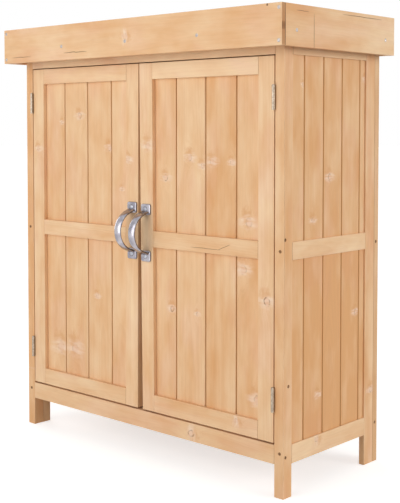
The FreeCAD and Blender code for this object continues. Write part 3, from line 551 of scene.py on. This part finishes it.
# Doors: each has two stiles and three rails of planed fir with two rows of boards held in their
# rebates. The joints are glued and the arrises rubbed, so each joint shows as a fine groove, which
# the shader darkens with a painted contact shadow.
door_knots = {
    "left": ((-194, 691, 5, 0.35), (-101, 624, 5, 0.25), (-259, 186, 10, 0.2), (-212, 189, 9, 0.15),
             (-140, 311, 4, 0.3)),
    "right": ((62, 567, 5, 0.5), (79, 310, 4.5, 0.8), (127, 608, 5, 0.25), (160, 593, 4, 0.22),
              (135, 533, 5, 0.35), (184, 601, 5, 0.15), (233, 601, 4, 0.3), (274, 492, 7, 0.12),
              (261, 404, 7, 0.18), (295, 166, 7, 0.23)),
}
stile_knots = {"left_door_meeting_stile": ((-36, 601, 5, 0.2), (-54, 176, 4, 0.4)),
               "right_door_meeting_stile": ((21, 629, 6, 0.15),),
               "right_door_hinge_stile": ((324, 352, 6.5, 0.75),)}
rail_splits = {"right_door_middle_rail": ((174, 437, 76, 0.8, 0, 4), (221, 442.5, 34, 0.8, 22, 3)),
               "left_door_bottom_rail": ((-35.6, 115, 34, 1.6, 90, 0),)}
rail_tones = {"left_door_top_rail": -0.5, "right_door_top_rail": -1.5, "left_door_middle_rail": -0.3,
              "right_door_middle_rail": 0.3, "left_door_hinge_stile": -0.4, "right_door_meeting_stile": -0.4}
board_tones = {"left": (0.1, 0.0, 0.1, -0.1, 0.2, 0.0, 0.1, -0.3),
               "right": (0.1, 0.1, 0.4, 0.4, 0.1, -0.5, 0.9, 0.1)}
for side in ("left", "right"):
    for node in ("hinge_stile", "meeting_stile", "top_rail", "middle_rail", "bottom_rail"):
        name = side + "_door_" + node
        planed(name, planed_fir, "fir_frame", knots=stile_knots.get(name, ()),
               splits=rail_splits.get(name, ()), tones=(rail_tones.get(name, -0.1),))
    planed(side + "_door_boards", boards_fir, "fir_boards", arris=0.3, knots=door_knots[side],
           tones=board_tones[side])

# Roof edge: a deep planed board along the front, screwed over the ends of the two side boards, so its
# end grain shows at the corners. Its lower edges have the fine splits that such boards get in drying.
planed("roof_front_fascia", planed_fir, "fir_frame", knots=((-2, 845, 5, 0.2),),
       splits=((-150, 821, 74, 1.3, 0, 5), (-327, 818.5, 66, 1.0, 0, 4), (356, 877.5, 4.5, 4, 0, 0),
               (388.7, 840.6, 15, 1.6, 90, 0)), tones=((-0.2, 0.6),))
planed("roof_right_fascia", planed_fir, "fir_frame", plane=(1, 2),
       splits=((70, 873, 134, 1.1, 0, 3), (-84, 833, 70, 1.2, 90, 0), (-118, 869.3, 37, 0.8, 0, 3),
               (-166.9, 838, 90, 1.1, 90, 0)), tones=((1.6, -0.8),))
planed("roof_left_fascia", planed_fir, "fir_frame", plane=(1, 2))
planed("roof_rear_fascia", sawn_fir, "fir_inside")

# Roof: two cross battens, three tapered rafters and five deck boards that fall to the rear. All of it
# is sawn fir, seen only from inside the cabinet.
for node in ("roof_cross_battens", "roof_deck_boards", "roof_rafters"):
    planed(node, sawn_fir, "fir_inside", plane=(0, 1))

# Roof felt: bitumen felt with pressed-in mineral grit, nailed over the deck and bent down at the rear.
# Each grit grain has its own grey or green, and stands up a little.
felt = bpy.data.materials.new("gritted_felt")
tree = new_tree(felt)
place = add(tree, "TexCoord", {}).outputs["Object"]
grit = add(tree, "TexVoronoi", {"Vector": place, "Scale": 700.0, "Randomness": 1.0})
shade = add(tree, "SeparateColor", {0: grit.outputs["Color"]})
grain = tint(tree, shade.outputs[0], linear(48, 52, 50), linear(118, 124, 114))
worn = drawn_noise(tree, place, (1, 1, 1), 9.0, 4.0)
grain = tint(tree, ease(tree, worn, -0.1, 0.25, 0.0, 0.45), grain, linear(52, 50, 48))
relief = add(tree, "Bump", {"Height": grit.outputs["Distance"], "Strength": 0.9, "Distance": 0.6 * mm},
             invert=True)
rough = maths(tree, "MULTIPLY_ADD", shade.outputs[1], 0.15, 0.82)
shader = add(tree, "BsdfPrincipled", {"Base Color": grain, "Roughness": rough, "Normal": relief.outputs[0]})
add(tree, "OutputMaterial", {"Surface": shader.outputs[0]})
frame["nodes"]["roof_felt"].material_slots[0].material = felt


# Screws: flat-headed, zinc-plated wood screws. The roof's lie a hair below the face; those in the
# posts, sides and back are driven deeper, and their heads are a dark brown metal.
def metal(name, bright, dull, roughness, mottle=260.0, uneven=0.3):
    """Plated steel whose plating is a little uneven."""
    finish = bpy.data.materials.new(name)
    tree = new_tree(finish)
    place = add(tree, "TexCoord", {}).outputs["Object"]
    cloud = drawn_noise(tree, place, (1, 1, 1), mottle, 3.0)
    colour = tint(tree, ease(tree, cloud, -0.2, 0.2), linear(*bright), linear(*dull))
    rough = maths(tree, "MULTIPLY_ADD", cloud, uneven, roughness)
    shader = add(tree, "BsdfPrincipled", {"Base Color": colour, "Roughness": rough, "Metallic": 1.0})
    add(tree, "OutputMaterial", {"Surface": shader.outputs[0]})
    return finish


hinge_steel = metal("hinge_steel", (186, 171, 153), (150, 137, 121), 0.4)
zinc = metal("zinc_plate", (192, 193, 200), (150, 151, 160), 0.34)
dark_brown = metal("dark_brown_zinc", (150, 116, 84), (96, 70, 50), 0.5)


def driven(node, depth, narrow, finish):
    """A node's screws, sunk by depth and with their heads narrowed to fit the deeper seat."""
    solid = cad_copy(node)
    for part in loose_parts(solid):
        low, high = box_of(part)
        middle = (low + high) / 2
        along = max(range(3), key=lambda axis: high[axis] - low[axis])
        across = [axis for axis in range(3) if axis != along]
        edge = mm / 2

        def reach(end):
            return max((abs(vertex.co[across[0]] - middle[across[0]]) for vertex in part
                        if abs(vertex.co[along] - end) < edge), default=0)

        inward = 1 if reach(low[along]) > reach(high[along]) else -1
        for vertex in part:
            vertex.co[along] += inward * depth * mm
            for axis in across:
                vertex.co[axis] = middle[axis] + (vertex.co[axis] - middle[axis]) * narrow
    return stand_in("sunk_" + node, solid, finish, "zinc_steel", node)


driven("cabinet_screws", 1.1, 0.8, dark_brown)
driven("roof_screws", 0.4, 0.85, metal("bright_zinc", (208, 200, 195), (178, 170, 167), 0.5))
for side in ("left", "right"):
    frame["nodes"][side + "_door_screws"].material_slots[0].material = zinc

# Butt hinges: pressed and plated steel, two to a door. The leaves are let into the door and the post,
# and only the rolled knuckles and the pins stand in front of the joint.
for side in ("left", "right"):
    frame["nodes"][side + "_strike_plate"].material_slots[0].material = zinc
    for node in ("hinge_door_leaves", "hinge_frame_leaves", "hinge_pins"):
        frame["nodes"][side + "_" + node].material_slots[0].material = hinge_steel

# Magnetic catch: a moulded white plastic body screwed to the top stop, which holds both doors shut by
# the strike plates on their backs.
moulded = bpy.data.materials.new("moulded_plastic")
tree = new_tree(moulded)
place = add(tree, "TexCoord", {}).outputs["Object"]
grain = drawn_noise(tree, place, (1, 1, 1), 900.0)
colour = tint(tree, ease(tree, drawn_noise(tree, place, (1, 1, 1), 60.0), -0.2, 0.2), linear(232, 230, 224),
              linear(220, 217, 210))
relief = add(tree, "Bump", {"Height": grain, "Strength": 0.3, "Distance": 0.1 * mm})
rough = maths(tree, "MULTIPLY_ADD", grain, 0.2, 0.45)
shader = add(tree, "BsdfPrincipled", {"Base Color": colour, "Roughness": rough, "Normal": relief.outputs[0]})
add(tree, "OutputMaterial", {"Surface": shader.outputs[0]})
frame["nodes"]["magnetic_catch"].material_slots[0].material = moulded

# Bow handles: cast, tumbled and nickel-plated. A crowned bow springs from two cushioned feet, and the
# casting runs from one into the other in a soft fillet.
nickel = bpy.data.materials.new("nickel_plate")
tree = new_tree(nickel)
place = add(tree, "TexCoord", {}).outputs["Object"]
cloud = drawn_noise(tree, place, (1, 1, 1), 70.0, 1.0)
# Painted shade: the flanks that face the door or turn sideways, and a ring round each screw head, are
# darkened towards a dark grey.
side_shade = add(tree, "Attribute", {}, attribute_name="hidden_side").outputs["Fac"]
from_screw = add(tree, "Attribute", {}, attribute_name="from_screw").outputs["Vector"]
from_screw = add(tree, "VectorMath", {0: from_screw}, operation="LENGTH").outputs["Value"]
painted_seat_shadow = maths(tree, "MULTIPLY", ease(tree, from_screw, 4.0, 4.5), ease(tree, from_screw, 4.9, 6.3, 1.0, 0.0))
dark = maths(tree, "MAXIMUM", maths(tree, "MULTIPLY", side_shade, 0.8), maths(tree, "MULTIPLY", painted_seat_shadow, 0.6))
colour = tint(tree, ease(tree, cloud, -0.25, 0.25), linear(184, 181, 187), linear(148, 145, 154))
colour = tint(tree, dark, colour, linear(84, 76, 76))
rough = maths(tree, "MULTIPLY_ADD", cloud, 0.06, 0.22)
shader = add(tree, "BsdfPrincipled", {"Base Color": colour, "Roughness": rough, "Metallic": 1.0})
add(tree, "OutputMaterial", {"Surface": shader.outputs[0]})

plate_half_width = 13.0
plate_half_height = 11.0
plate_corner = 4.0
plate_edge = ((0.4, 0.0), (0.0, 0.5), (0.0, 2.3), (0.35, 3.0), (1.0, 3.45), (2.0, 3.6))
plates_apart = 93.5
bow_reach = 42.0
bow_rise = 40.2
bow_steps = 40


def plate_outline(inset):
    """A rounded rectangle, in millimetres across and up."""
    corner = max(plate_corner - inset, 0.5)
    points = []
    for sign_x, sign_z, quarter in ((1, 1, 0), (-1, 1, 1), (-1, -1, 2), (1, -1, 3)):
        for step in range(7):
            turn = math.radians(90 * quarter + 15 * step)
            points.append((sign_x * (plate_half_width - inset - corner) + corner * math.cos(turn),
                           sign_z * (plate_half_height - inset - corner) + corner * math.sin(turn)))
    return points


def skin(solid, rings):
    """Faces between rings of points, and one over each end."""
    rings = [[solid.verts.new(point) for point in ring] for ring in rings]
    for first, second in zip(rings, rings[1:]):
        for index in range(len(first)):
            after = (index + 1) % len(first)
            solid.faces.new((first[index], first[after], second[after], second[index]))
    solid.faces.new(list(reversed(rings[0])))
    solid.faces.new(rings[-1])


def bow_line():
    """The bow's middle line, out and up, with its half width, half thickness and how square it is."""
    line = []
    for step in range(7):
        line.append((1.8, 56.0 - 1.6 * step, plate_half_width - 0.6, 1.75, 5.0))
    for step in range(1, 6):
        turn = math.radians(18 * step)
        line.append((1.8 + 4.8 * (1 - math.cos(turn)), 46.4 - 5.4 * math.sin(turn),
                     plate_half_width - 0.6 - 0.45 * step, 1.75 + 0.17 * step, 5.0 - 0.4 * step))
    for step in range(1, bow_steps // 2 + 1):
        turn = math.radians(11 + 79 * step / (bow_steps // 2))
        share = min(1.0, step / 9)
        share = share * share * (3 - 2 * share)
        line.append((bow_reach * math.sin(turn), bow_rise * math.cos(turn), 10.15 - 1.15 * share,
                     2.6 + 0.4 * share, 3.0 - 0.5 * share))
    return line + [(out, -rise, *sizes) for out, rise, *sizes in reversed(line[:-1])]


def bow_rings():
    line = bow_line()
    rings = []
    for index, (out, rise, half_width, half_depth, square) in enumerate(line):
        before = line[max(index - 1, 0)]
        after = line[min(index + 1, len(line) - 1)]
        ahead = Vector((after[0] - before[0], after[1] - before[1])).normalized()
        ring = []
        for step in range(32):
            turn = math.tau * step / 32
            power = 2 / (square if math.sin(turn) < 0 else max(2.0, square - 0.5))
            across = math.copysign(abs(math.cos(turn)) ** power, math.cos(turn)) * half_width
            proud = math.copysign(abs(math.sin(turn)) ** power, math.sin(turn)) * half_depth
            ring.append((across, -(out - ahead.y * proud), rise + ahead.x * proud))
        rings.append(ring)
    return rings


def shaped(piece, kind, **settings):
    """Puts a modifier's result into the mesh."""
    modifier = piece.modifiers.new(kind.lower(), kind)
    for key, value in settings.items():
        setattr(modifier, key, value)
    graph = bpy.context.evaluated_depsgraph_get()
    mesh = bpy.data.meshes.new_from_object(piece.evaluated_get(graph))
    piece.modifiers.clear()
    piece.data = mesh


def bow_handle(name, node):
    low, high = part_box(node)
    centre = (low + high) / 2
    solid = bmesh.new()
    skin(solid, bow_rings())
    for rise in (-plates_apart / 2, plates_apart / 2):
        skin(solid, [[(x, -out, z + rise) for x, z in plate_outline(inset)] for inset, out in plate_edge])
    for vertex in solid.verts:
        vertex.co = vertex.co * mm + Vector((centre.x, high.y, centre.z))
    bmesh.ops.recalc_face_normals(solid, faces=solid.faces)
    mesh = bpy.data.meshes.new(name + "_rough")
    solid.to_mesh(mesh)
    solid.free()
    casting = bpy.data.objects.new(name + "_rough", mesh)
    bpy.context.scene.collection.objects.link(casting)
    shaped(casting, "REMESH", mode="VOXEL", voxel_size=0.4 * mm)
    shaped(casting, "SMOOTH", factor=0.5, iterations=8)
    shaped(casting, "DECIMATE", ratio=0.3)
    solid = bmesh.new()
    solid.from_mesh(casting.data)
    bpy.data.objects.remove(casting)
    solid.normal_update()
    hidden_side = solid.verts.layers.float.new("hidden_side")
    from_screw = solid.verts.layers.float_vector.new("from_screw")
    for vertex in solid.verts:
        vertex.co.y = min(vertex.co.y, high.y)
        # Painted shade mask: vertices whose normal faces the door or turns sideways.
        vertex[hidden_side] = min(max(vertex.normal.y + 0.5, 0.0) / 0.4, 1.0)
        rise = abs(vertex.co.z - centre.z) - plates_apart / 2 * mm
        vertex[from_screw] = ((vertex.co.x - centre.x) / mm, rise / mm, 0.0)
    return stand_in(name, solid, nickel, "plated_handle", node)


for side in ("left", "right"):
    bow_handle(side + "_bow_handle", side + "_handle")
